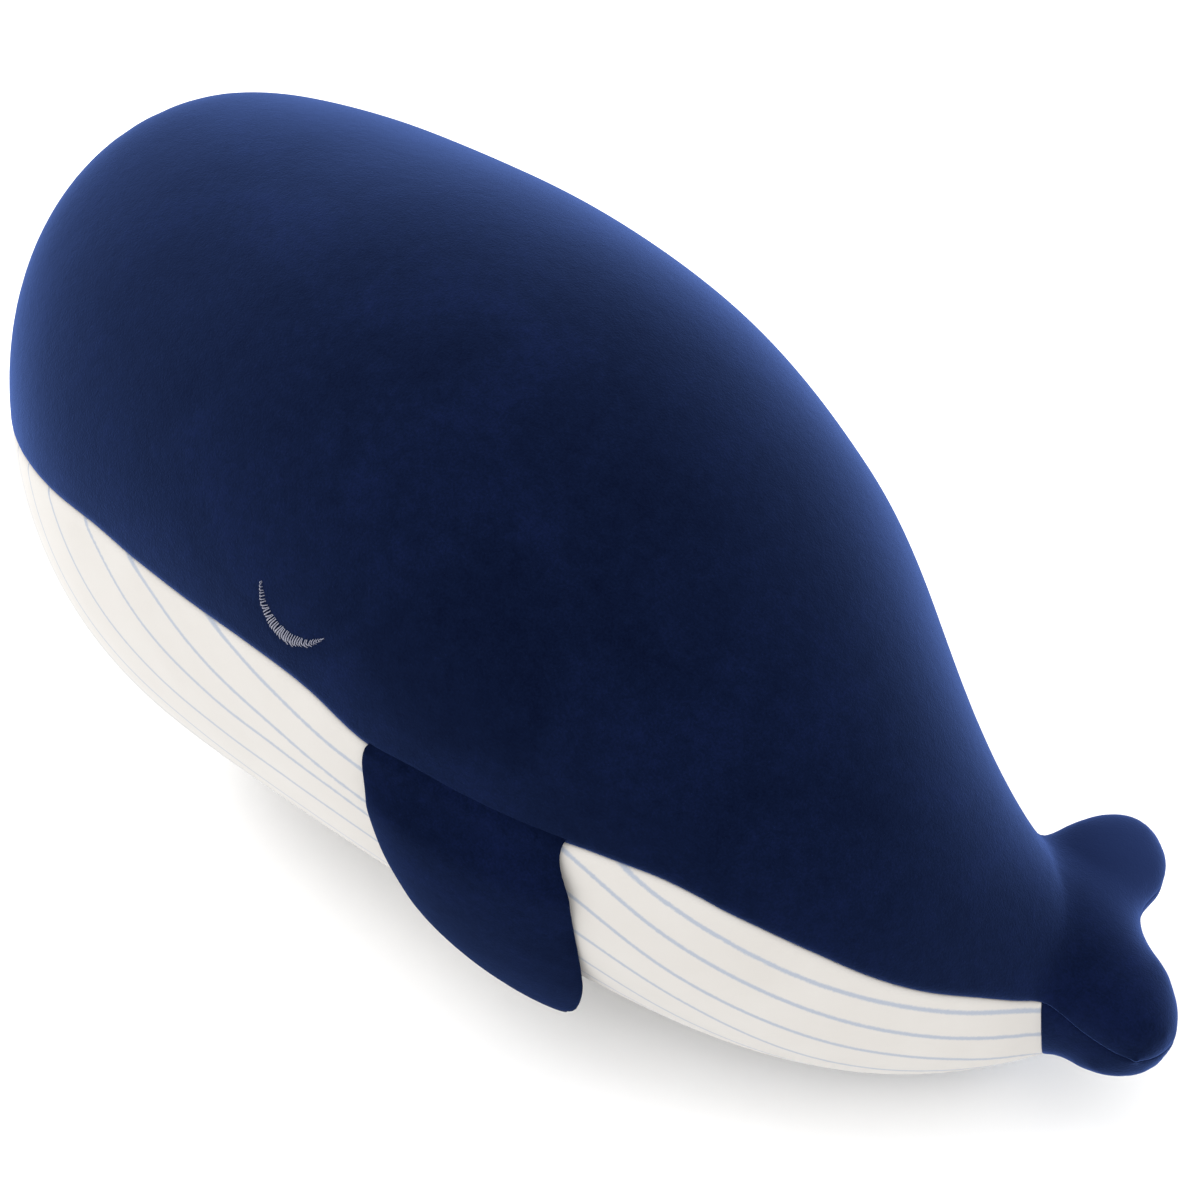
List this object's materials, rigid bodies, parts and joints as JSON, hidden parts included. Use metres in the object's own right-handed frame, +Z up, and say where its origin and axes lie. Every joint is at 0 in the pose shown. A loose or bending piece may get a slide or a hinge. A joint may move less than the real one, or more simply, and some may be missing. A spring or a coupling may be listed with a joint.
{
  "type": "plush whale",
  "caption": "Stuffed toy whale in navy velvet with a pale striped belly, sewn-in side fins, tail flukes and embroidered closed eyes.",
  "frame": {"origin": "middle of the whale's bounds, on the surface it lies on", "axes": "+X from the snout to the tail, +Y to the whale's right side, +Z up from the surface it lies on"},
  "size_m": [0.4916, 0.2588, 0.2615],
  "materials": {
    "navy_velvet": "short-pile velvet with a soft sheen",
    "white_velvet": "short-pile velvet printed with thin pale blue lines",
    "polyester_wool": "matte loose fibre",
    "silver_thread": "satin-stitched thread"
  },
  "bodies": {
    "trunk": {"back_panel": "navy_velvet", "belly_panel": "white_velvet", "body_filling": "polyester_wool", "left_eye_stitching": "silver_thread", "right_eye_stitching": "silver_thread"},
    "tail": {"tail_top_panel": "navy_velvet", "tail_under_panel": "navy_velvet", "tail_filling": "polyester_wool", "left_fluke_filling": "polyester_wool", "right_fluke_filling": "polyester_wool"},
    "left_fin": {"left_fin_outer_panel": "navy_velvet", "left_fin_inner_panel": "navy_velvet", "left_fin_filling": "polyester_wool"},
    "right_fin": {"right_fin_outer_panel": "navy_velvet", "right_fin_inner_panel": "navy_velvet", "right_fin_filling": "polyester_wool"}
  },
  "joints": [
    {"name": "tail_bend", "type": "hinge", "parent": "trunk", "child": "tail", "pos_m": [0.20769, 0.03447, 0.04416], "axis": [0.4067, -0.9135, 0], "range_deg": [-20, 25], "stiffness_Nm_per_rad": 0.3},
    {"name": "left_fin_lift", "type": "hinge", "parent": "trunk", "child": "left_fin", "pos_m": [0.02159, -0.12081, 0.13308], "axis": [-0.9444, -0.2788, 0.1745], "range_deg": [0, 75], "stiffness_Nm_per_rad": 0.05},
    {"name": "right_fin_lift", "type": "hinge", "parent": "trunk", "child": "right_fin", "pos_m": [0.02185, 0.12132, 0.13308], "axis": [0.9375, -0.2936, -0.187], "range_deg": [0, 75], "stiffness_Nm_per_rad": 0.05}
  ]
}
